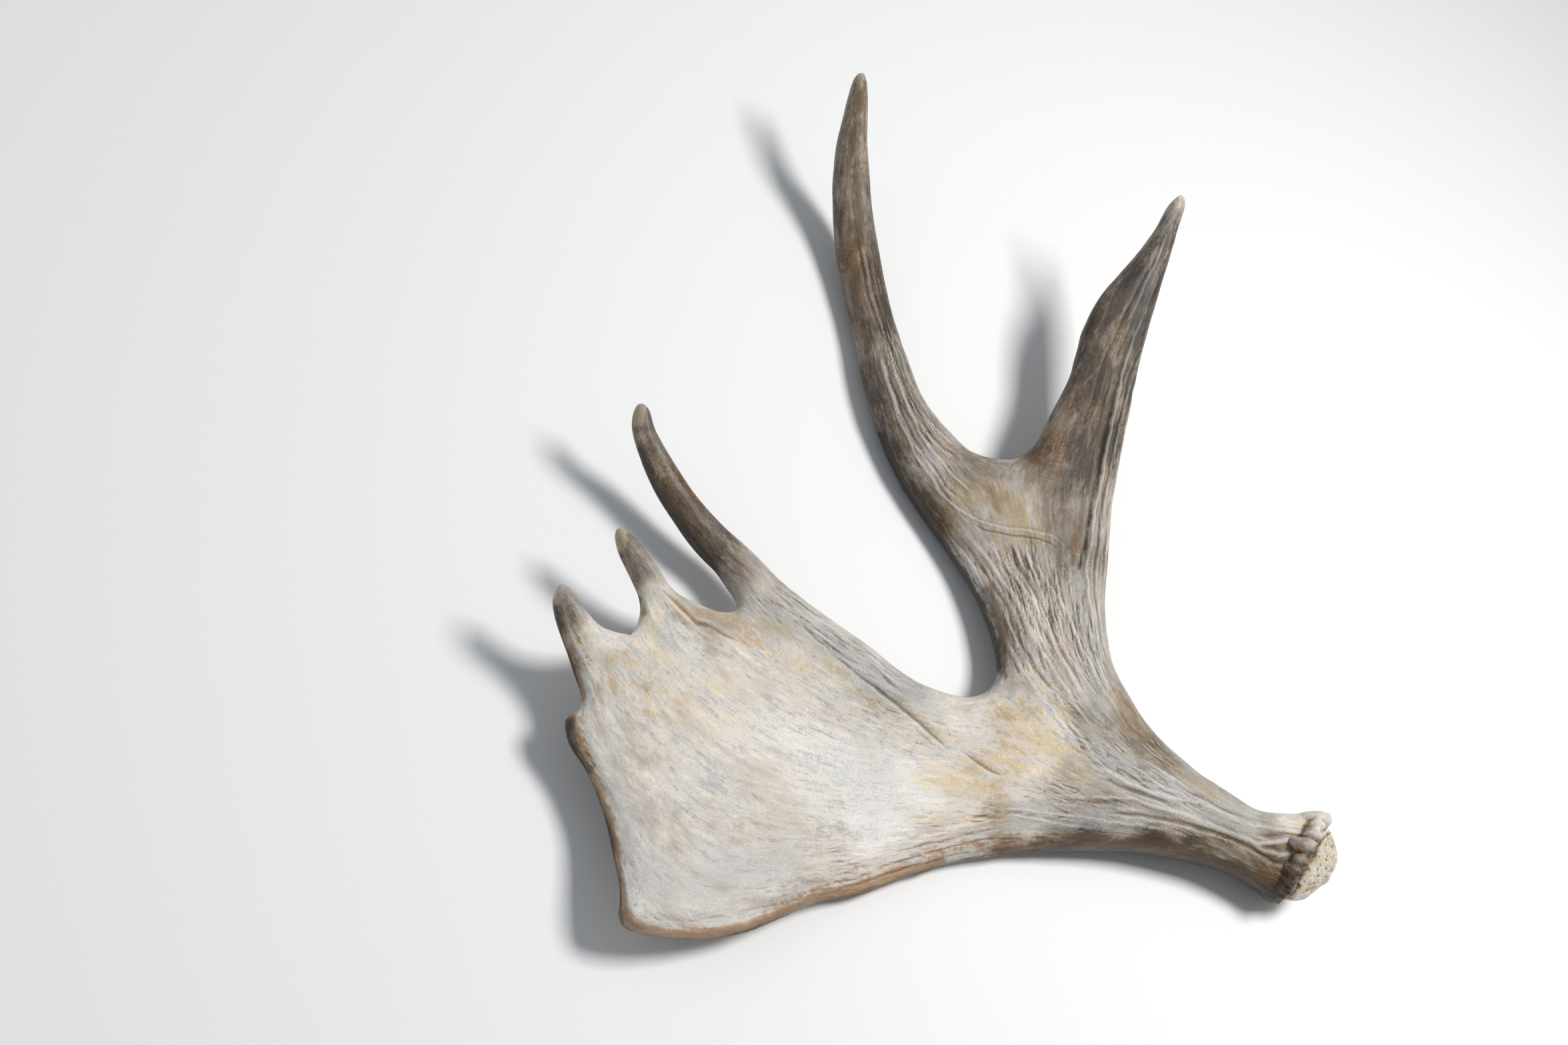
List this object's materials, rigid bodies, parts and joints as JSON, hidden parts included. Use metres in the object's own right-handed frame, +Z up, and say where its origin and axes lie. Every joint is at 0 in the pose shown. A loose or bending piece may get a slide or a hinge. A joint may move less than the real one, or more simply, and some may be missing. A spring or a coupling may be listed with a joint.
{
  "type": "moose antler",
  "caption": "Shed moose antler lying on its back: a burr and short beam that fork into a dished palm with points and a flat brow palm with a long round tine and a shorter flat one.",
  "frame": {"origin": "middle of the bounding box at its lowest face, the surface that the antler lies on", "axes": "+Z up; +X from the palm towards the burr; +Y from the beam towards the tips of the brow tines; the hollow side of the palm faces up"},
  "size_m": [0.5709, 0.657, 0.1235],
  "materials": {
    "burr_and_beam": "satin, ridged grey-brown bone with a rough cream seal",
    "main_palm": "dull cream bone with tan and blue-grey flecks and an orange-brown rim",
    "long_palm_tine": "satin dark brown bone with an ochre tip",
    "brow_palm": "dull grey and tan bone with long grooves",
    "long_brow_tine": "satin brown bone mottled dark grey",
    "short_brow_tine": "dull grey-brown bone with a cream-yellow tip"
  },
  "bodies": {
    "root": {"burr_and_beam": "burr_and_beam", "main_palm": "main_palm", "long_palm_tine": "long_palm_tine", "brow_palm": "brow_palm", "long_brow_tine": "long_brow_tine", "short_brow_tine": "short_brow_tine"}
  },
  "joints": []
}
